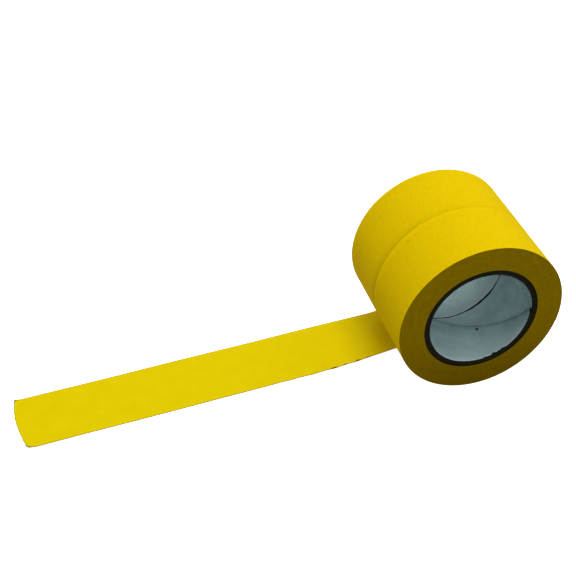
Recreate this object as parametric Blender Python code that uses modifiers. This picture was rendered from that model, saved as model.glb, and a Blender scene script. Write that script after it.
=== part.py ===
"""Two rolls of creped paper masking tape on 76 mm board cores, stood side by side on their treads,
with a strip of tape pulled out along the floor from under the rear roll.

Metres, +Z up. Both rolls turn about one line along Y, the front roll's face looks along -Y and the
strip runs along -X. The origin is the middle of the whole model's footprint, on the floor.
"""

import math

import bmesh
import bpy

MM = 0.001

# Driving dimensions of a roll
TAPE_WIDTH = 50.0 * MM
ROLL_RADIUS = 61.3 * MM
BORE_RADIUS = 38.25 * MM
WINDING_EDGE_EASE = 0.25 * MM

# Driving dimensions of the core: one paper liner inside, board plies round it, all helically wound
LINER_THICKNESS = 0.35 * MM
BOARD_THICKNESS = 0.65 * MM
BOARD_PLIES = 4
CORE_RECESS = 0.5 * MM
SEAM_PITCH = 152.0 * MM
SEAM_WIDTH = 0.5 * MM

# Driving dimensions of the pulled-out strip
STRIP_REACH = 320.7 * MM
STRIP_SLANT = math.radians(4.25)
STRIP_THICKNESS = 0.3 * MM
STRIP_END_BOW = 3.0 * MM
PEEL_CURL = 6.0 * MM
BEND_REACH = 90.0 * MM

# Where the strip's near and far edges leave the roll, turned up from the floor, and reach the floor
NEAR_PEEL_ANGLE = math.radians(26.0)
FAR_PEEL_ANGLE = math.radians(16.0)
NEAR_LANDING = 86.0 * MM
FAR_LANDING = 46.0 * MM

# Clearances
GLUE_GAP = 0.3 * MM
ROLL_GAP = 0.3 * MM
PEEL_GAP = 0.3 * MM
WEB_GAP = 0.3 * MM
CUT_MARGIN = 1.0 * MM

# Where each core's liner seam starts, turned from the +X side towards the floor
SEAM_START = {"front": math.radians(-4.0), "rear": math.radians(-160.0)}

# Facets of the turned pieces: the same count everywhere keeps the gaps between them even
RING_STEPS = 64
EASE_STEPS = 1
SEAM_STEPS = 20
CURVE_STEPS = 12
FLAT_STEPS = 2
TAIL_STEPS = 10
ACROSS_STEPS = 8

CORE_LENGTH = TAPE_WIDTH - 2.0 * CORE_RECESS
SEAM_STAGGER = 2.0 * math.pi / (BOARD_PLIES + 1)
REAR_ROLL_OFFSET = TAPE_WIDTH + ROLL_GAP
HALF_STEP = math.pi / RING_STEPS


def core_outer_radius():
    """Outside of the last board ply."""
    return BORE_RADIUS + LINER_THICKNESS + BOARD_PLIES * (GLUE_GAP + BOARD_THICKNESS)


def strip_end_point(across):
    """Point on the cut free end, measured from the line where the rear roll meets the floor."""
    bow = STRIP_END_BOW * (1.0 - (2.0 * across / TAPE_WIDTH) ** 2)
    along = STRIP_REACH / math.cos(STRIP_SLANT) + bow
    x = -along * math.cos(STRIP_SLANT) - across * math.sin(STRIP_SLANT)
    y = -along * math.sin(STRIP_SLANT) + across * math.cos(STRIP_SLANT)
    return x, y


def strip_side_y(x, across):
    """Sideways place of the slanted strip's point at x."""
    return x * math.tan(STRIP_SLANT) + across / math.cos(STRIP_SLANT)


def strip_lines():
    """Places across the tape's width, from its near edge to its far edge."""
    return [TAPE_WIDTH * (step / ACROSS_STEPS - 0.5) for step in range(ACROSS_STEPS + 1)]


# Footprint: from the farthest point of the free end to the rolls' far side
FAR_LEFT = min(strip_end_point(across)[0] for across in strip_lines())
AXIS_X = -(FAR_LEFT + ROLL_RADIUS) / 2.0
FRONT_FACE_Y = -(REAR_ROLL_OFFSET + TAPE_WIDTH) / 2.0
REAR_FACE_Y = FRONT_FACE_Y + REAR_ROLL_OFFSET


def srgb(red, green, blue):
    """Linear colour of an 8-bit sRGB one."""
    def linear(value):
        value = value / 255.0
        return value / 12.92 if value <= 0.04045 else ((value + 0.055) / 1.055) ** 2.4
    return (linear(red), linear(green), linear(blue), 1.0)


def plain_material(name, colour, roughness):
    material = bpy.data.materials.new(name)
    material.use_nodes = True
    shader = material.node_tree.nodes["Principled BSDF"]
    shader.inputs["Base Color"].default_value = colour
    shader.inputs["Roughness"].default_value = roughness
    shader.inputs["Metallic"].default_value = 0.0
    return material


def new_collection(name):
    collection = bpy.data.collections.new(name)
    bpy.context.scene.collection.children.link(collection)
    return collection


def new_object(name, mesh, collection, parent=None, material=None):
    obj = bpy.data.objects.new(name, mesh)
    collection.objects.link(obj)
    obj.parent = parent
    if material is not None:
        mesh.materials.append(material)
    return obj


def new_empty(name, collection, location, rotation=(0.0, 0.0, 0.0)):
    empty = new_object(name, None, collection)
    empty.location = location
    empty.rotation_euler = rotation
    return empty


def profile_mesh(name, points, turn, closed):
    """Flat outline of (radius, height) points, stood on its edge and turned about Z."""
    corners = [(r * math.cos(turn), r * math.sin(turn), z) for r, z in points]
    edges = [(i, i + 1) for i in range(len(corners) - 1)]
    if closed:
        edges.append((len(corners) - 1, 0))
    mesh = bpy.data.meshes.new(name)
    mesh.from_pydata(corners, edges, [])
    return mesh


def ring(name, inner, outer, length, ease, collection, parent, material):
    """Turned ring about its parent's Z, whose flats touch the inner and outer radii.

    A flat, not an edge, faces the floor, so the ring stands still on it.
    """
    flats = 1.0 / math.cos(HALF_STEP)
    half = length / 2.0
    corners = [(outer, half), (outer, -half), (inner, -half), (inner, half)]
    signs = [(-1, -1), (-1, 1), (1, 1), (1, -1)]
    outline = []
    for number, ((radius, height), (out, up)) in enumerate(zip(corners, signs)):
        if ease <= 0.0:
            outline.append((radius * flats, height))
            continue
        for step in range(EASE_STEPS + 1):
            angle = math.pi / 2.0 * step / EASE_STEPS
            if number % 2:
                angle = math.pi / 2.0 - angle
            r = radius + out * ease * (1.0 - math.sin(angle))
            z = height + up * ease * (1.0 - math.cos(angle))
            outline.append((r * flats, z))
    mesh = profile_mesh(name, outline, HALF_STEP, closed=True)
    obj = new_object(name, mesh, collection, parent, material)
    screw = obj.modifiers.new("turn", "SCREW")
    screw.axis = "Z"
    screw.angle = 2.0 * math.pi
    screw.steps = RING_STEPS
    screw.render_steps = RING_STEPS
    screw.use_merge_vertices = True
    screw.merge_threshold = 0.00001
    screw.use_smooth_shade = True
    return obj


def seam_cutter(name, inner, outer, start, collection, parent):
    """Helical ribbon that parts one ply along its seam, from one end of the core to the other."""
    length = CORE_LENGTH + 2.0 * CUT_MARGIN
    turn_per_length = 2.0 * math.pi / SEAM_PITCH
    points = [(inner - CUT_MARGIN, 0.0), (outer + CUT_MARGIN, 0.0)]
    mesh = profile_mesh(name, points, start - CUT_MARGIN * turn_per_length, closed=False)
    obj = new_object(name, mesh, collection, parent)
    obj.location.z = -length / 2.0
    screw = obj.modifiers.new("helix", "SCREW")
    screw.axis = "Z"
    screw.angle = length * turn_per_length
    screw.screw_offset = length
    screw.steps = SEAM_STEPS
    screw.render_steps = SEAM_STEPS
    screw.use_smooth_shade = False
    wall = obj.modifiers.new("width", "SOLIDIFY")
    wall.thickness = SEAM_WIDTH
    wall.offset = 0.0
    obj.hide_render = True
    obj.display_type = "WIRE"
    return obj


def ply(name, inner, thickness, seam, collection, cutters, parent, material):
    """One helically wound layer of the core, open along its butt seam."""
    outer = inner + thickness
    obj = ring(name, inner, outer, CORE_LENGTH, 0.0, collection, parent, material)
    cutter = seam_cutter(name + "_seam", inner, outer, seam, cutters, parent)
    cut = obj.modifiers.new("seam", "BOOLEAN")
    cut.operation = "DIFFERENCE"
    cut.solver = "EXACT"
    cut.object = cutter
    return obj


def build_core(side, collection, cutters, parent, liner_material, board_material):
    seam = SEAM_START[side]
    ply(side + "_core_liner", BORE_RADIUS, LINER_THICKNESS, seam,
        collection, cutters, parent, liner_material)
    inner = BORE_RADIUS + LINER_THICKNESS + GLUE_GAP
    for number in range(1, BOARD_PLIES + 1):
        ply(f"{side}_core_board_ply_{number}", inner, BOARD_THICKNESS, seam + number * SEAM_STAGGER,
            collection, cutters, parent, board_material)
        inner += BOARD_THICKNESS + GLUE_GAP


def build_roll(side, middle_y, collection, cutters, materials):
    """One roll: its core, and the tape wound on it. Its empty is on the line that it turns about."""
    axis = new_empty(side + "_roll_axis", collection, (AXIS_X, middle_y, ROLL_RADIUS),
                     (-math.pi / 2.0, 0.0, 0.0))
    build_core(side, collection, cutters, axis, materials["liner"], materials["board"])
    ring(side + "_tape_winding", core_outer_radius() + GLUE_GAP, ROLL_RADIUS, TAPE_WIDTH,
         WINDING_EDGE_EASE, collection, axis, materials["tape"])


def sheet(name, steps, place, collection, parent, material):
    """Thin web of tape: place(t, across) gives its underside, t from its roll end to its free end."""
    mesh = bpy.data.meshes.new(name)
    grid = bmesh.new()
    bmesh.ops.create_grid(grid, x_segments=steps, y_segments=ACROSS_STEPS, size=1.0)
    for vertex in grid.verts:
        from_roll = (1.0 - vertex.co.x) / 2.0
        across = vertex.co.y * TAPE_WIDTH / 2.0
        vertex.co = place(from_roll, across)
    grid.to_mesh(mesh)
    grid.free()
    mesh.shade_smooth()
    obj = new_object(name, mesh, collection, parent, material)
    wall = obj.modifiers.new("thickness", "SOLIDIFY")
    wall.thickness = STRIP_THICKNESS
    wall.offset = 1.0
    return obj


def bend_place(t, across):
    """From the peel line up the rear roll's flank, over a small curl and down to the floor.

    The far edge leaves the roll lower and lands sooner than the near edge, so the web is twisted.
    """
    near = 0.5 - across / TAPE_WIDTH
    peel = FAR_PEEL_ANGLE + near * (NEAR_PEEL_ANGLE - FAR_PEEL_ANGLE)
    landing = FAR_LANDING + near * (NEAR_LANDING - FAR_LANDING)
    radius = ROLL_RADIUS / math.cos(HALF_STEP) + PEEL_GAP + STRIP_THICKNESS
    start = (-radius * math.sin(peel), ROLL_RADIUS - radius * math.cos(peel))
    leave = (-PEEL_CURL * math.cos(peel), PEEL_CURL * math.sin(peel))
    step = t * (CURVE_STEPS + FLAT_STEPS)
    t = min(step / CURVE_STEPS, 1.0)
    keep_start = 2.0 * t ** 3 - 3.0 * t ** 2 + 1.0
    keep_leave = t ** 3 - 2.0 * t ** 2 + t
    keep_land = t ** 3 - t ** 2
    x = keep_start * start[0] - (1.0 - keep_start) * landing
    x += keep_leave * leave[0] - keep_land * (landing + start[0])
    x -= max(step - CURVE_STEPS, 0.0) / FLAT_STEPS * (BEND_REACH - landing)
    z = keep_start * start[1] + keep_leave * leave[1]
    return x, strip_side_y(x, across), z


def tail_place(t, across):
    """Flat on the floor, from the end of the bend to the bowed free end."""
    start_x = -BEND_REACH - WEB_GAP
    start_y = strip_side_y(start_x, across)
    end_x, end_y = strip_end_point(across)
    return start_x + t * (end_x - start_x), start_y + t * (end_y - start_y), 0.0


def build_strip(collection, materials):
    """The web between the rear roll and the free end, in two pieces: the one that stays beside the
    roll, and the one that is drawn along the floor. Their empty is where the roll meets the floor."""
    path = new_empty("strip_path", collection, (AXIS_X, REAR_FACE_Y + TAPE_WIDTH / 2.0, 0.0))
    sheet("rear_tape_peel_bend", CURVE_STEPS + FLAT_STEPS, bend_place, collection, path, materials["tape"])
    sheet("rear_tape_tail", TAIL_STEPS, tail_place, collection, path, materials["strip"])


for old in list(bpy.data.objects):
    bpy.data.objects.remove(old, do_unlink=True)

parts = new_collection("masking_tape_rolls")
cutters = new_collection("masking_tape_cutters")
finishes = {
    "tape": plain_material("creped_tape_back", srgb(232, 196, 4), 0.6),
    "strip": plain_material("tape_adhesive_side", srgb(226, 201, 2), 0.45),
    "liner": plain_material("white_liner_paper", srgb(196, 206, 206), 0.7),
    "board": plain_material("grey_core_board", srgb(52, 48, 30), 0.85),
}
build_roll("front", FRONT_FACE_Y + TAPE_WIDTH / 2.0, parts, cutters, finishes)
build_roll("rear", REAR_FACE_Y + TAPE_WIDTH / 2.0, parts, cutters, finishes)
build_strip(parts, finishes)
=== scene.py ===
"""Two rolls of yellow creped masking tape, stood side by side on their treads, with a strip of tape
pulled out along the floor from under the rear roll. Everything is placed in the CAD model's frame.
"""
import math

import bpy
import numpy as np
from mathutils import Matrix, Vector


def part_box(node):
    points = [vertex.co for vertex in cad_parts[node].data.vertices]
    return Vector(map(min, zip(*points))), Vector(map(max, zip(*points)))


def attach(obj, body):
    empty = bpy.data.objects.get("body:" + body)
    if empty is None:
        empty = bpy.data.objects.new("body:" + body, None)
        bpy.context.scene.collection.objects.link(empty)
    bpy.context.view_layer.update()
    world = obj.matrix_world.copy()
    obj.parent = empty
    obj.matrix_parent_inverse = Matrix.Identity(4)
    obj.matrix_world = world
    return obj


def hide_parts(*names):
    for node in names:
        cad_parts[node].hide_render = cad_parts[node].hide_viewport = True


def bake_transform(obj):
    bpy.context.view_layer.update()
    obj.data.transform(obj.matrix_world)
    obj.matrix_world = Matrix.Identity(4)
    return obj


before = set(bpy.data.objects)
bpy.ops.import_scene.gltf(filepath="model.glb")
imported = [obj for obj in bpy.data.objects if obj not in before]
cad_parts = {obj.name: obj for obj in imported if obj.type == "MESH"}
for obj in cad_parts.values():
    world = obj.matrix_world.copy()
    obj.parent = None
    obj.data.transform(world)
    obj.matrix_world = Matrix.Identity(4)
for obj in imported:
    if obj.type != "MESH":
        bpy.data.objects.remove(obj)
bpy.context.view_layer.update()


# The front roll's wound tape
# About 150 turns of creped paper tape, 0.125 mm thick, wound tight on the core and slit to 50 mm.
# The slit faces show the turns as fine rings, and the outermost turn ends in a torn edge.
MM = 0.001
RING_STEPS = 288
winding_low, winding_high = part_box("front_tape_winding")
roll_radius = (winding_high.z - winding_low.z) / 2
tape_width = winding_high.y - winding_low.y
front_axis = Vector(((winding_low.x + winding_high.x) / 2, winding_low.y, roll_radius))
winding_bore = 42.45 * MM
turn_step = 0.2 * MM
face_steps = 34
tread_steps = 40


def from_angle(angle, at):
    """How far an angle is from another, between half a turn back and half a turn on."""
    return (angle - at + math.pi) % (2 * math.pi) - math.pi


def linear(code):
    """Linear colour of an sRGB hex code."""
    parts = [int(code[i:i + 2], 16) / 255 for i in (1, 3, 5)]
    parts = [c / 12.92 if c <= 0.04045 else ((c + 0.055) / 1.055) ** 2.4 for c in parts]
    return (*parts, 1.0)


def add(finish, kind, settings=None, inputs=None, stops=()):
    """Adds a shader node with its settings, its inputs as values or links, and a ramp's stops."""
    node = finish.node_tree.nodes.new("ShaderNode" + kind)
    for name, value in (settings or {}).items():
        setattr(node, name, value)
    for name, value in (inputs or {}).items():
        if isinstance(value, bpy.types.NodeSocket):
            finish.node_tree.links.new(value, node.inputs[name])
        else:
            node.inputs[name].default_value = value
    for number, (place, colour) in enumerate(stops):
        ends = node.color_ramp.elements
        stop = ends[number] if number < 2 else ends.new(place)
        stop.position, stop.color = place, linear(colour)
    return node


def new_finish(name):
    """An empty node material."""
    finish = bpy.data.materials.new(name)
    finish.use_nodes = True
    finish.node_tree.nodes.clear()
    return finish


def mixed(finish, share, one, other):
    """A tone that goes from one to the other with the share."""
    return add(finish, "Mix", {"data_type": "RGBA"}, {0: share, 6: one, 7: other}).outputs[2]


def multiplied(finish, one, other):
    """The product of two tones."""
    return add(finish, "Mix", {"data_type": "RGBA", "blend_type": "MULTIPLY"}, {
        0: 1.0, 6: one, 7: other}).outputs[2]


def lay_finish(finish, inputs):
    """Ends a finish in its Principled shader."""
    shader = add(finish, "BsdfPrincipled", inputs=inputs)
    add(finish, "OutputMaterial", inputs={"Surface": shader.outputs["BSDF"]})


# Creped paper, saturated and coated with a release film: a dry, even yellow with the crepe's fine
# wrinkles across the tape. They are 0.4 mm apart, and are drawn 0.8 mm apart so that they show.
# Where two rolls stand against each other one rim has a painted highlight and the other painted
# shade.
creped_back = new_finish("creped_masking_paper")
place = add(creped_back, "TexCoord").outputs["Object"]
wrinkles = add(creped_back, "Mapping", inputs={"Vector": place, "Scale": (1, 0.16, 1)})
crepe = add(creped_back, "TexNoise", inputs={
    "Vector": wrinkles.outputs["Vector"], "Scale": 1 / (0.8 * MM), "Detail": 3.0, "Roughness": 0.6})
mottle = add(creped_back, "TexNoise", inputs={
    "Vector": place, "Scale": 1 / (1.6 * MM), "Detail": 4.0, "Roughness": 0.65})
paper_tone = add(creped_back, "ValToRGB", inputs={"Fac": mottle.outputs["Fac"]}, stops=(
    (0.3, "#E7C300"), (0.7, "#EECB01")))
wrinkle_tone = add(creped_back, "ValToRGB", inputs={"Fac": crepe.outputs["Fac"]}, stops=(
    (0.3, "#F4F4F4"), (0.6, "#FFFFFF")))
tone = multiplied(creped_back, paper_tone.outputs["Color"], wrinkle_tone.outputs["Color"])
# Painted highlight and painted shade at the rims where the rolls meet, and a speck of dirt, scale
# the tone.
rim_light_and_speck = add(creped_back, "Attribute", {"attribute_name": "rim_light_and_speck"}).outputs["Fac"]
rim_lit_tone = add(creped_back, "VectorMath", {"operation": "SCALE"}, {
    0: tone, "Scale": rim_light_and_speck})
dryness = add(creped_back, "MapRange", inputs={
    "Value": crepe.outputs["Fac"], "To Min": 0.72, "To Max": 0.55})
relief = add(creped_back, "Bump", inputs={
    "Height": crepe.outputs["Fac"], "Strength": 0.35, "Distance": 0.15 * MM})
lay_finish(creped_back, {
    "Base Color": rim_lit_tone.outputs["Vector"], "Roughness": dryness.outputs["Result"],
    "Normal": relief.outputs["Normal"], "IOR": 1.5, "Specular IOR Level": 0.02,
    "Specular Tint": linear("#FFC800")})

# The slit edges of many turns of tape, paper and adhesive pressed together: darker and redder than
# the paper's face, in fine rings, and darker still with painted shade. The turns are 0.125 mm
# apart, and are drawn in bands of 0.6 mm. Painted shade darkens them towards the floor they stand
# on, and paints them near black where they meet the core.
slit_turns = new_finish("slit_tape_edges")
place = add(slit_turns, "TexCoord").outputs["Object"]
parts = add(slit_turns, "SeparateXYZ", inputs={"Vector": place})
flat = add(slit_turns, "CombineXYZ", inputs={"X": parts.outputs["X"], "Z": parts.outputs["Z"]})
out = add(slit_turns, "VectorMath", {"operation": "LENGTH"}, {0: flat.outputs["Vector"]})
ring = add(slit_turns, "CombineXYZ", inputs={
    "X": parts.outputs["X"], "Y": out.outputs["Value"], "Z": parts.outputs["Z"]})
ringed = add(slit_turns, "Mapping", inputs={
    "Vector": ring.outputs["Vector"], "Scale": (0.05, 1, 0.05)})
bands = add(slit_turns, "TexNoise", inputs={
    "Vector": ringed.outputs["Vector"], "Scale": 1 / (0.6 * MM), "Detail": 4.0, "Roughness": 0.7})
dust = add(slit_turns, "TexNoise", inputs={
    "Vector": place, "Scale": 1 / (4.0 * MM), "Detail": 5.0, "Roughness": 0.6})
# Part of the bands' darkness is painted shade.
band_tone = add(slit_turns, "ValToRGB", inputs={"Fac": bands.outputs["Fac"]}, stops=(
    (0.3, "#7C6500"), (0.7, "#8D7500")))
dust_tone = add(slit_turns, "ValToRGB", inputs={"Fac": dust.outputs["Fac"]}, stops=(
    (0.35, "#F1EFEB"), (0.65, "#FFFFFF")))
edge_tone = multiplied(slit_turns, band_tone.outputs["Color"], dust_tone.outputs["Color"])
rim = add(slit_turns, "MapRange", inputs={
    "Value": out.outputs["Value"], "From Min": roll_radius - 0.9 * MM,
    "From Max": roll_radius - 0.2 * MM})
rimmed = mixed(slit_turns, rim.outputs["Result"], edge_tone, linear("#6E4A08"))
# Painted shade: the faces darken towards the floor.
low_down = add(slit_turns, "MapRange", inputs={
    "Value": parts.outputs["Z"], "From Min": -roll_radius, "From Max": 0.0})
painted_floor_shade_tone = add(slit_turns, "ValToRGB", inputs={"Fac": low_down.outputs["Result"]}, stops=(
    (0.0, "#CBC2B8"), (1.0, "#FFFFFF"), (0.6, "#F2F0EE")))
floor_shaded = multiplied(slit_turns, rimmed, painted_floor_shade_tone.outputs["Color"])
# Painted shade: near black on the innermost turns, where they meet the core.
painted_core_shade = add(slit_turns, "MapRange", inputs={
    "Value": out.outputs["Value"], "From Min": winding_bore + 0.02 * MM,
    "From Max": winding_bore + 0.2 * MM, "To Min": 1.0, "To Max": 0.0})
core_shaded = mixed(slit_turns, painted_core_shade.outputs["Result"], floor_shaded, linear("#14130A"))
relief = add(slit_turns, "Bump", inputs={
    "Height": bands.outputs["Fac"], "Strength": 0.3, "Distance": 0.1 * MM})
lay_finish(slit_turns, {
    "Base Color": core_shaded, "Roughness": 0.7, "Normal": relief.outputs["Normal"],
    "IOR": 1.5, "Specular IOR Level": 0.02, "Specular Tint": linear("#FFC800")})


def make_piece(name, points, faces, finishes, finish_of_face, place, crease=35):
    """A closed mesh from its points and quads, smooth but for edges sharper than the crease."""
    mesh = bpy.data.meshes.new(name)
    mesh.from_pydata([tuple(p) for p in points], [], [tuple(f) for f in faces])
    for finish in finishes:
        mesh.materials.append(finish)
    mesh.polygons.foreach_set("material_index", np.asarray(finish_of_face, np.int32))
    mesh.shade_smooth()
    mesh.set_sharp_from_angle(angle=math.radians(crease))
    mesh.validate()
    piece = bpy.data.objects.new(name, mesh)
    bpy.context.scene.collection.objects.link(piece)
    piece.location = place
    return piece


def grid_quads(columns, rows, columns_close):
    """Quads between neighbouring columns of points, each column a closed loop of rows."""
    span = np.arange(columns if columns_close else columns - 1)
    c, r = np.meshgrid(span, np.arange(rows), indexing="ij")
    c2, r2 = (c + 1) % columns, (r + 1) % rows
    return np.stack([c * rows + r, c * rows + r2, c2 * rows + r2, c2 * rows + r], -1).reshape(-1, 4)


def end_caps(columns, rows, quads):
    """Quads that close the first and the last column of a grid whose columns stay open."""
    caps, last = [], (columns - 1) * rows
    for j in range(quads):
        quad = np.array([j, rows - 1 - j, rows - 2 - j, j + 1])
        caps += [quad, last + quad[::-1]]
    return caps


def wound_tape(name, end_at, eases, swells, seed, rim_light_and_speck_at, place):
    """One winding, turned about its axis. Its outermost turn ends at the angle end_at, measured
    from the floor side towards +X, so the tread is a spiral with one step. A turn is 0.125 mm
    thick, and the step is drawn turn_step high so that it shows. eases round the tread's front and
    back edges, and swells push those faces out. The rim function gives the tread's tone from the
    place across it and the angle: painted highlight and painted shade at the rims, and a speck."""
    chance = np.random.default_rng(seed)
    front, back = -swells[0], tape_width + swells[1]
    faces_out = [np.linspace(winding_bore, roll_radius - ease, face_steps) for ease in eases]
    quarter = np.radians([22, 45, 68])
    rounds_out = [roll_radius - ease * (1 - np.sin(quarter)) for ease in eases]
    rounds_in = [ease * (1 - np.cos(quarter)) for ease in eases]
    tread = np.linspace(front + eases[0], back - eases[1], tread_steps)
    depths = []
    for face in faces_out:
        drift = np.cumsum(chance.normal(0, 0.012, len(face))) \
            + chance.uniform(-0.015, 0.015, len(face))
        depth = (drift - drift.min()) * MM
        depth[-3:] *= (0.6, 0.3, 0.0)
        depths.append(depth)
    bore = np.linspace(tape_width - 1 * MM, 1 * MM, 6)
    radii = np.concatenate([
        faces_out[0], rounds_out[0], np.full(len(tread), roll_radius),
        rounds_out[1][::-1], faces_out[1][::-1], np.full(len(bore), winding_bore)])
    across = np.concatenate([
        front + depths[0], front + rounds_in[0], tread,
        back - rounds_in[1][::-1], back - depths[1][::-1], bore])
    kind = np.repeat([1, 0, 1], [face_steps, 5 + len(tread), face_steps + 1 + len(bore)])
    share = np.append(np.arange(RING_STEPS) / RING_STEPS, 1 - 0.0004)
    tear = 0.5 * np.sin(across / (1.9 * MM)) + 0.35 * np.sin(across / (0.83 * MM) + 1) \
        + 0.6 * np.sin(across / (9 * MM) + 2)
    angle = end_at - 2 * math.pi * (share[:, None] - 1) + tear[None, :] * MM / roll_radius
    outermost = np.clip((radii - (roll_radius - 1.5 * MM)) / (1.2 * MM), 0, 1)
    radius = radii[None, :] - turn_step * (1 - share[:, None]) * outermost[None, :]
    wave = 0.03 * np.sin(3 * angle + across / (11 * MM)) \
        + 0.03 * np.sin(7 * angle - across / (7 * MM))
    radius = radius + (wave - 0.06) * MM * outermost[None, :]
    points = np.stack([radius * np.sin(angle), np.broadcast_to(across, radius.shape),
                       -radius * np.cos(angle)], -1).reshape(-1, 3)
    faces = grid_quads(len(share), len(radii), True)
    piece = make_piece(name, points, faces, [creped_back, slit_turns],
                       np.tile(kind, len(share)), place)
    rim_light_and_speck = piece.data.attributes.new("rim_light_and_speck", "FLOAT", "POINT")
    rim_light_and_speck.data.foreach_set("value", rim_light_and_speck_at(across, angle).reshape(-1).astype(np.float32))
    return piece


def painted_highlight_and_speck(across, angle):
    """The front roll's back rim has a painted highlight, and its tread has one speck of dirt near
    it.
    """
    speck_size = 0.9 * MM
    off = from_angle(angle, math.radians(-138)) * roll_radius
    speck = np.exp(-(off / speck_size) ** 2 - ((across - 43.8 * MM) / speck_size) ** 2)
    most = 0.035 + 0.065 * np.clip(-np.sin(angle), 0, 1)
    return 1 + most * np.exp(-((across - 47.9 * MM) / (1.5 * MM)) ** 2) - 0.45 * speck


front_tape = wound_tape("front_wound_tape", math.radians(75), (0.25 * MM, 0.15 * MM),
                        (0.0, 0.12 * MM), 3, painted_highlight_and_speck, front_axis)
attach(front_tape, "front_roll")
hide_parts("front_tape_winding")


# The rear roll's wound tape
# The same tape on the same core, stood against the front roll. Its outermost turn is the one that
# is pulled out, so its step is where the strip leaves the tread, low on the side towards the strip.
rear_low, rear_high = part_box("rear_tape_winding")
rear_axis = Vector((front_axis.x, rear_low.y, roll_radius))
near_peel, far_peel = math.radians(26), math.radians(16)


def painted_rim_shade(across, angle):
    """The rear roll's front rim is darkened with painted shade, most on the side of the strip."""
    most = 0.3 + 0.7 * np.clip(-np.sin(angle), 0, 1)
    return 1 - 0.2 * most * np.exp(-(np.clip(across, 0, None) / (4.2 * MM)) ** 1.5)


rear_tape = wound_tape("rear_wound_tape", -far_peel, (0.5 * MM, 0.25 * MM),
                       (0.1 * MM, 0.0), 8, painted_rim_shade, rear_axis)
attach(rear_tape, "rear_roll")
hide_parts("rear_tape_winding")


# The board plies of both cores
# Four strips of grey board a core, each glued and wound on the last in a long helix whose edges
# meet in a butt seam. The tube is sawn to length, which leaves its dark ends a little fuzzy.
bore_radius = 38.25 * MM
board_thickness = 0.65 * MM
saw_wear = 0.25 * MM
core_recess = 0.5 * MM
core_length = tape_width - 2 * core_recess
seam_rate = -2 * math.pi / (152 * MM)
seam_gap = 0.4 * MM
glue_film = 0.22 * MM
ply_seam_step = math.radians(72)
seam_at = {"front": math.radians(94), "rear": math.radians(250)}

# Recycled core board, saturated at its sawn ends: matt, nearly black with an olive cast, with
# fibres about 1 mm long and a few pale ones.
core_board = new_finish("sawn_core_board")
place = add(core_board, "TexCoord").outputs["Object"]
fibres = add(core_board, "TexNoise", inputs={
    "Vector": place, "Scale": 1 / (0.9 * MM), "Detail": 5.0, "Roughness": 0.7, "Distortion": 0.6})
pulp = add(core_board, "TexNoise", inputs={
    "Vector": place, "Scale": 1 / (5 * MM), "Detail": 3.0, "Roughness": 0.6})
fibre_tone = add(core_board, "ValToRGB", inputs={"Fac": fibres.outputs["Fac"]}, stops=(
    (0.35, "#0D0D04"), (0.75, "#25240F")))
pulp_tone = add(core_board, "ValToRGB", inputs={"Fac": pulp.outputs["Fac"]}, stops=(
    (0.35, "#D6D6D0"), (0.65, "#FFFFFF")))
board_tone = multiplied(core_board, fibre_tone.outputs["Color"], pulp_tone.outputs["Color"])
relief = add(core_board, "Bump", inputs={
    "Height": fibres.outputs["Fac"], "Strength": 0.5, "Distance": 0.15 * MM})
lay_finish(core_board, {
    "Base Color": board_tone, "Roughness": 0.9, "Normal": relief.outputs["Normal"],
    "IOR": 1.45, "Specular IOR Level": 0.2})


def wound_ply(name, inner, outer, seam, finishes, finish_rows, front_cut, back_cut, place):
    """One helically wound strip of a core, from one side of its butt seam round to the other.
    front_cut and back_cut give how far each end is worn back at an angle round the core."""
    gap = seam_gap / inner
    shares = np.array([0, 0.006, 0.015, 0.03, 0.06, 0.12, 0.24, 0.4, 0.6, 0.76, 0.88, 0.94, 0.97,
                       0.985, 0.994, 1])
    turn = np.linspace(gap / 2, 2 * math.pi - gap / 2, RING_STEPS // 2 + 1)
    front = core_recess + front_cut(seam - turn)
    back = core_recess + core_length - back_cut(seam + seam_rate * core_length - turn)
    across = front[:, None] + (back - front)[:, None] * shares[None, :]
    angle = seam + seam_rate * (across - core_recess) - turn[:, None]
    rings = [np.stack([r * np.sin(angle), across, -r * np.cos(angle)], -1) for r in (outer, inner)]
    points = np.concatenate([rings[0], rings[1][:, ::-1]], 1)
    columns, rows = points.shape[:2]
    faces = grid_quads(columns, rows, False)
    kinds = np.tile(finish_rows(len(shares)), columns - 1)
    caps = end_caps(columns, rows, len(shares) - 1)
    piece = make_piece(name, points.reshape(-1, 3), np.concatenate([faces, caps]), finishes,
                       np.concatenate([kinds, np.zeros(len(caps), int)]), place)
    wrap = piece.data.attributes.new("wrap", "FLOAT", "POINT")
    wrap.data.foreach_set("value", np.repeat(turn * inner, rows).astype(np.float32))
    return piece


def sawn(depth, phase):
    """Wear of a sawn end: up to depth deep, different for each phase."""
    def cut(angle):
        wave = np.sin(9 * angle + phase) + 0.8 * np.sin(23 * angle + 2 * phase) \
            + 0.7 * np.sin(61 * angle + 3 * phase)
        return depth * (0.5 + 0.2 * wave)
    return cut


for side, axis in (("front", front_axis), ("rear", rear_axis)):
    for number in range(1, 5):
        node = f"{side}_core_board_ply_{number}"
        low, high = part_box(node)
        ply_outer = (high.z - low.z) / 2
        ply_inner = ply_outer - board_thickness - glue_film
        wrap = wound_ply(f"{side}_board_wrap_{number}", ply_inner, ply_outer,
                         seam_at[side] - number * ply_seam_step, [core_board],
                         lambda rows: np.zeros(2 * rows, int),
                         sawn(saw_wear, number), sawn(saw_wear, number + 5), axis)
        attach(wrap, side + "_roll")
        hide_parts(node)


# The paper liners of both cores
# A smooth white paper, wound inside the board as its first layer. Its helical seam shows as a soft
# line round the bore, and where the seam meets the sawn end the liner is notched and nicked.
liner_thickness = 0.35 * MM
liner_middle = 38.4 * MM
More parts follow.
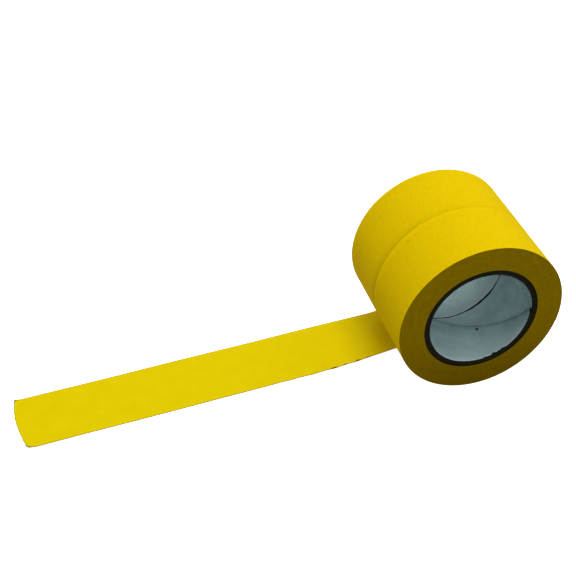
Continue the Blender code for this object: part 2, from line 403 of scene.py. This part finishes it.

# White kraft liner, calendered: dull, with faint long fibres along the wrap. Its cool grey tone
# round the wrap is painted light and shade, darkest towards the seam, where its edge stands off
# the board. The paper is darker towards both mouths. A pale band just inside the front mouth is a
# painted highlight on the cut lip.
liner_paper = new_finish("white_liner_paper")
place = add(liner_paper, "TexCoord").outputs["Object"]
wrap_along = add(liner_paper, "Attribute", {"attribute_name": "wrap"}).outputs["Fac"]
round_bore = 2 * math.pi * bore_radius
# Painted light and shade round the wrap, darkest at the seam.
seam_shade = add(liner_paper, "MapRange", inputs={"Value": wrap_along, "From Max": round_bore})
shade_tone = add(liner_paper, "ValToRGB", inputs={"Fac": seam_shade.outputs["Result"]}, stops=(
    (0.0, "#97B0B2"), (1.0, "#8499A0"), (0.03, "#AAC5C8"), (0.12, "#BCD7D9"), (0.3, "#CEE8E8"),
    (0.5, "#D5EEEE"), (0.75, "#C1DCDE"), (0.985, "#AAC5C8")))
cloud = add(liner_paper, "TexNoise", inputs={
    "Vector": place, "Scale": 1 / (9 * MM), "Detail": 4.0, "Roughness": 0.55})
cloud_tone = add(liner_paper, "ValToRGB", inputs={"Fac": cloud.outputs["Fac"]}, stops=(
    (0.3, "#E2E4E4"), (0.7, "#FFFFFF")))
fibre_map = add(liner_paper, "Mapping", inputs={"Vector": place, "Scale": (1, 0.25, 1)})
long_fibres = add(liner_paper, "TexNoise", inputs={
    "Vector": fibre_map.outputs["Vector"], "Scale": 1 / (1.2 * MM), "Detail": 3.0})
liner_tone = multiplied(liner_paper, shade_tone.outputs["Color"], cloud_tone.outputs["Color"])
depth_in = add(liner_paper, "SeparateXYZ", inputs={"Vector": place})
# Darker towards both mouths.
mouth = add(liner_paper, "MapRange", inputs={
    "Value": depth_in.outputs["Y"], "From Max": tape_width})
mouth_tone = add(liner_paper, "ValToRGB", inputs={"Fac": mouth.outputs["Result"]}, stops=(
    (0.1, "#DFDFDF"), (1.0, "#EEEEEE"), (0.36, "#FFFFFF"), (0.54, "#FFFFFF"), (0.72, "#EBEBEB")))
mouth_toned = multiplied(liner_paper, liner_tone, mouth_tone.outputs["Color"])
# Painted highlight: a pale band just inside the front mouth, on the cut lip.
painted_lip_highlight = add(liner_paper, "MapRange", inputs={
    "Value": depth_in.outputs["Y"], "From Min": 0.9 * MM, "From Max": 1.6 * MM,
    "To Min": 0.5, "To Max": 0.0})
lip_highlighted = mixed(liner_paper, painted_lip_highlight.outputs["Result"], mouth_toned, linear("#EAF6F8"))
speck_angle = math.radians(20.3)
speck_at = (bore_radius * math.sin(speck_angle), 28.4 * MM, -bore_radius * math.cos(speck_angle))
to_speck = add(liner_paper, "VectorMath", {"operation": "DISTANCE"}, {0: place, 1: speck_at})
speck = add(liner_paper, "MapRange", inputs={
    "Value": to_speck.outputs["Value"], "From Min": 1.1 * MM, "From Max": 1.5 * MM,
    "To Min": 1.0, "To Max": 0.0})
specked = mixed(liner_paper, speck.outputs["Result"], lip_highlighted, linear("#06090B"))
relief = add(liner_paper, "Bump", inputs={
    "Height": long_fibres.outputs["Fac"], "Strength": 0.15, "Distance": 0.05 * MM})
lay_finish(liner_paper, {
    "Base Color": specked, "Roughness": 0.6, "Normal": relief.outputs["Normal"],
    "IOR": 1.5, "Specular IOR Level": 0.3})


def meeting(phase):
    """Wear of the ends that face each other: nearly touching, but for one open stretch below."""
    def cut(angle):
        away = from_angle(angle, math.radians(42))
        shut = 1 - np.exp(-(away / math.radians(21)) ** 4)
        chips = np.clip(np.sin(41 * angle + phase) + np.sin(27 * angle + 2 * phase) - 0.7, 0, 1)
        return (0.3 - 0.45 * shut + 0.3 * chips) * MM
    return cut


def nicked(seam, nicks):
    """Wear of the liner's end: torn back below its seam, and nicks (angle, depth, half width)."""
    def cut(angle):
        below = (seam - angle) % (2 * math.pi) * liner_middle
        worn = 1.7 * MM * np.exp(-below / (11 * MM)) + sawn(saw_wear, 4)(angle)
        for at, depth, half in nicks:
            away = np.abs(from_angle(angle, at)) * liner_middle
            worn = worn + depth * np.exp(-(away / half) ** 2)
        return worn
    return cut


def cut_rows(rows):
    """1 for the two rows of a liner's faces that are its cut ends, and 0 for the others. The cut
    ends take the dark board finish, as painted shade.
    """
    kinds = np.zeros(2 * rows, int)
    kinds[[rows - 1, -1]] = 1
    return kinds


front_nicks = ((91, 0.9, 1.2), (33, 1.6, 0.8), (28, 1.2, 0.7), (23, 1.8, 1.0), (12, 0.7, 0.8))
rear_nicks = ((200, 0.5, 1.5),)
for side, axis in (("front", front_axis), ("rear", rear_axis)):
    node = side + "_core_liner"
    low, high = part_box(node)
    liner_outer = (high.z - low.z) / 2
    nicks = [(math.radians(at), depth * MM, half * MM)
             for at, depth, half in (front_nicks if side == "front" else rear_nicks)]
    seam = seam_at[side]
    ends = [nicked(seam, nicks), nicked(seam + seam_rate * core_length, [])]
    ends[1 if side == "front" else 0] = meeting(1 if side == "front" else 4)
    # The liner's cut ends take the dark board finish: painted shade.
    liner = wound_ply(side + "_paper_liner", liner_outer - liner_thickness, liner_outer,
                      seam, [liner_paper, core_board], cut_rows, ends[0], ends[1], axis)
    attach(liner, side + "_roll")
    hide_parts(node)


# The pulled-out strip
# The rear roll's outermost turn, peeled off low on its tread and laid along the floor with its
# adhesive up. Its near edge leaves the roll higher and lands later than its far edge, and stands a
# little slack. Its free end is torn in a bow.
strip_slant = math.radians(4.25)
strip_thick = 0.3 * MM
strip_reach = 320.7 * MM
strip_stand_off = 0.3 * MM
peel_curl = 6 * MM
along_steps, across_steps = 240, 28

# Natural-rubber adhesive on yellow paper: lemon yellow, smoother than the paper's back, with a low
# sheen, and a darker line along its slit edges that deepens into painted shade where the near edge
# lifts and at the curled tips.
adhesive_side = new_finish("rubber_adhesive_coat")
place = add(adhesive_side, "TexCoord").outputs["Object"]
edge_near = add(adhesive_side, "Attribute", {"attribute_name": "from_edge"}).outputs["Fac"]
coat = add(adhesive_side, "TexNoise", inputs={
    "Vector": place, "Scale": 1 / (14 * MM), "Detail": 6.0, "Roughness": 0.6})
crepe_through = add(adhesive_side, "TexNoise", inputs={
    "Vector": place, "Scale": 1 / (1.0 * MM), "Detail": 3.0})
coat_tone = add(adhesive_side, "ValToRGB", inputs={"Fac": coat.outputs["Fac"]}, stops=(
    (0.3, "#E7CE00"), (0.7, "#ECD401")))
edge_share = add(adhesive_side, "MapRange", inputs={
    "Value": edge_near, "From Min": -0.2 * MM, "From Max": 0.8 * MM, "To Min": 1.0, "To Max": 0.0})
# Painted shade at the lifted near edge and the curled tips, and a darker line along the edges.
edge_line_and_shade_tone = add(adhesive_side, "ValToRGB", inputs={"Fac": edge_share.outputs["Result"]}, stops=(
    (0.4, "#A08C02"), (1.0, "#4E4704"), (0.75, "#948202")))
edged = mixed(adhesive_side, edge_share.outputs["Result"], coat_tone.outputs["Color"],
              edge_line_and_shade_tone.outputs["Color"])
relief = add(adhesive_side, "Bump", inputs={
    "Height": crepe_through.outputs["Fac"], "Strength": 0.15, "Distance": 0.1 * MM})
lay_finish(adhesive_side, {
    "Base Color": edged, "Roughness": 0.5, "Normal": relief.outputs["Normal"],
    "IOR": 1.5, "Specular IOR Level": 0.02, "Specular Tint": linear("#FFD800")})

# The strip's slit edge, seen end-on: paper darkened by adhesive.
slit_rim = new_finish("slit_strip_edge")
place = add(slit_rim, "TexCoord").outputs["Object"]
grit = add(slit_rim, "TexNoise", inputs={"Vector": place, "Scale": 1 / (1.5 * MM), "Detail": 3.0})
grit_tone = add(slit_rim, "ValToRGB", inputs={"Fac": grit.outputs["Fac"]}, stops=(
    (0.35, "#6E6000"), (0.65, "#A08C08")))
lay_finish(slit_rim, {"Base Color": grit_tone.outputs["Color"], "Roughness": 0.7,
                      "Specular IOR Level": 0.2})

# The peel bend is a curve from the tread to the floor, one for each place across the tape: the far
# edge lands 46 mm out from under the axis, and the near edge 94 mm. The face towards the roll starts
# at the tread's largest radius, so that the roll can turn clear of it.
strip_low = Vector((front_axis.x, (rear_low.y + rear_high.y) / 2, 0))
across = np.linspace(-tape_width / 2, tape_width / 2, across_steps + 1)
near = 0.5 - across / tape_width
peel_at = far_peel + near * (near_peel - far_peel)
peel_radius = roll_radius + strip_stand_off
peel_x, peel_z = -peel_radius * np.sin(peel_at), roll_radius - peel_radius * np.cos(peel_at)
lands = (46 + 48 * near) * MM
bend_steps = 70
t = np.linspace(0, 1, bend_steps + 1)[:, None]
keep = 2 * t ** 3 - 3 * t ** 2 + 1
leave = t ** 3 - 2 * t ** 2 + t
land = t ** 3 - t ** 2
bend_x = keep * peel_x - (1 - keep) * lands - leave * peel_curl * np.cos(peel_at) \
    - 0.4 * land * (lands + peel_x)
bend_z = keep * peel_z + leave * peel_curl * np.sin(peel_at)

# The free end, torn in a bow with a corner lost, and the tail from where the bend lands to it
half_share = 2 * across / tape_width
bow = 3.0 * (1 - half_share ** 2) * (1 + 0.35 * half_share) * MM
tear = 0.12 * np.sin(across / (0.9 * MM)) + 0.1 * np.sin(across / (0.37 * MM) + 1)
lost_corner = 1.2 * MM * (half_share < -0.95)
end_along = strip_reach / math.cos(strip_slant) + bow + tear * MM - lost_corner
end_x = -end_along * math.cos(strip_slant) - across * math.sin(strip_slant)
t = np.linspace(0, 1, along_steps - bend_steps + 1)[1:, None]
tail_x = -lands + t * (end_x + lands)

# The strip isn't quite flat: a little slack along its near edge, a gentle wave, and curled corners
x = np.concatenate([bend_x, tail_x])
lift = np.concatenate([bend_z, 0 * tail_x])
slack = 0.5 * near ** 4 * (1 + np.sin(x / (4.1 * MM)) * np.sin(x / (9.7 * MM))) \
    * np.exp(-((x + 105 * MM) / (34 * MM)) ** 2)
gentle = 0.12 * (1 + np.sin(x / (17 * MM) + across / (30 * MM)))
from_end = (end_x - x) / (-1 * MM)
curl_near = 1.1 * np.exp(-np.hypot(from_end / 3.0, (across + tape_width / 2) / (3.0 * MM)) ** 2)
curl_far = 0.9 * np.exp(-np.hypot(from_end / 2.5, (across - tape_width / 2) / (5.0 * MM)) ** 2)
lift = lift + (slack + gentle * np.clip((-x - lands) / (15 * MM), 0, 1) + curl_near + curl_far) * MM

# The solid strip, from its lower face up
lower = np.stack([x, x * math.tan(strip_slant) + across / math.cos(strip_slant), lift], -1)
normal = np.cross(np.gradient(lower, axis=0), np.gradient(lower, axis=1))
normal /= np.linalg.norm(normal, axis=-1, keepdims=True)
normal *= np.sign(normal[-1, 0, 2])
upper = lower + normal * strip_thick
lower[..., 2] = np.maximum(lower[..., 2], 0.0)
loop = np.concatenate([upper, lower[:, ::-1]], 1)
columns, rows = loop.shape[:2]
faces = grid_quads(columns, rows, False)
row_kind = np.array([0] * across_steps + [2] + [1] * across_steps + [2])
kinds = np.tile(row_kind, columns - 1)
caps = end_caps(columns, rows, across_steps)
strip = make_piece("pulled_out_strip", loop.reshape(-1, 3), np.concatenate([faces, caps]),
                   [adhesive_side, creped_back, slit_rim],
                   np.concatenate([kinds, np.full(len(caps), 2)]), strip_low)

# The darker line along the edges widens into painted shade: a few dark dashes where the slack
# near edge lifts, and at the curled tips
to_side = tape_width / 2 - np.abs(np.broadcast_to(across, x.shape))
to_end = np.abs(x - end_x)
dashes = np.clip(1.2 * np.sin(x / (1.5 * MM)) + 0.7 * np.sin(x / (3.7 * MM) + 1) - 0.1, 0, 1) \
    * np.exp(-((x + 81 * MM) / (18 * MM)) ** 4) * near ** 8
tips = np.exp(-np.hypot(x - end_x, (across + tape_width / 2)) / (2.0 * MM)) \
    + np.exp(-np.hypot(x - end_x, (across - tape_width / 2)) / (1.8 * MM))
margin = np.minimum(to_side, to_end) - (1.6 * dashes + 1.5 * tips) * MM
margin = np.concatenate([margin, margin[:, ::-1]], 1)
edge = strip.data.attributes.new("from_edge", "FLOAT", "POINT")
edge.data.foreach_set("value", margin.reshape(-1).astype(np.float32))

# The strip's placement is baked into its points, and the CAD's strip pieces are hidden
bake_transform(strip)
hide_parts("rear_tape_peel_bend", "rear_tape_tail")


# The studio
# A floor that glows pure white, a large softbox over the rolls, weaker ones behind and to the
# right, and three low fills. The floor shows to the camera, but throws neither light nor shadow on
# the object, so the left fill shines up through it from below.
floor_mesh = bpy.data.meshes.new("studio_floor")
floor_mesh.from_pydata([(-4, -4, 0), (4, -4, 0), (4, 4, 0), (-4, 4, 0)], [], [(0, 1, 2, 3)])
floor = bpy.data.objects.new("studio_floor", floor_mesh)
bpy.context.scene.collection.objects.link(floor)
floor.location.z = -0.0002
floor.visible_diffuse = False
floor.visible_glossy = False
floor.visible_shadow = False
pale_floor = new_finish("pale_studio_floor")
lay_finish(pale_floor, {
    "Base Color": linear("#F4F4F4"), "Roughness": 0.9, "Specular IOR Level": 0.1,
    "Emission Color": linear("#FFFFFF"), "Emission Strength": 1.0})
floor_mesh.materials.append(pale_floor)

sky = bpy.data.worlds.new("studio_sky")
bpy.context.scene.world = sky
sky.use_nodes = True
sky.node_tree.nodes.clear()
ray = add(sky, "TexCoord").outputs["Generated"]
height = add(sky, "SeparateXYZ", inputs={"Vector": ray})
climb = add(sky, "MapRange", inputs={
    "Value": height.outputs["Z"], "From Min": -0.1, "From Max": 0.1})
dome = add(sky, "ValToRGB", inputs={"Fac": climb.outputs["Result"]}, stops=(
    (0.0, "#7A7A7A"), (1.0, "#ACACAC")))
glow = add(sky, "Background", inputs={"Color": dome.outputs["Color"], "Strength": 1.0})
add(sky, "OutputWorld", inputs={"Surface": glow.outputs["Background"]})


def aimed(direction):
    """The rotation of a lamp or a camera that looks in a direction."""
    return direction.to_track_quat("-Z", "Y").to_euler()


lit_point = Vector((front_axis.x, 0, 0.06))
for name, spot, watts in (("overhead_softbox", (0.1, 0.0, 1.6), 10.0),
                          ("rear_softbox", (0.15, 1.1, 1.0), 2.7),
                          ("right_softbox", (1.2, 0.1, 1.0), 2.1),
                          ("low_left_fill", (-1.1, 0.0, -0.35), 2.4),
                          ("low_right_fill", (1.4, 0.0, 0.3), 2.9),
                          ("low_front_fill", (0.1, -1.3, 0.3), 5.6)):
    lamp = bpy.data.lights.new(name, "AREA")
    lamp.shape, lamp.size, lamp.energy = "SQUARE", 0.8, watts
    stand = bpy.data.objects.new(name, lamp)
    bpy.context.scene.collection.objects.link(stand)
    stand.location = spot
    stand.rotation_euler = aimed(lit_point - stand.location)

# The camera is held level and looks down at the rolls from the front left.
camera = bpy.data.objects.new("studio_camera", bpy.data.cameras.new("studio_camera"))
bpy.context.scene.collection.objects.link(camera)
camera.data.lens = 70.11
camera.data.sensor_width = 36.0
camera.location = (front_axis.x - 0.29749, front_axis.y - 0.531765, 0.56847)
camera.rotation_euler = aimed(Vector((0.220474, 0.746904, -0.627316)))
bpy.context.scene.camera = camera
bpy.context.scene.view_settings.view_transform = "Standard"
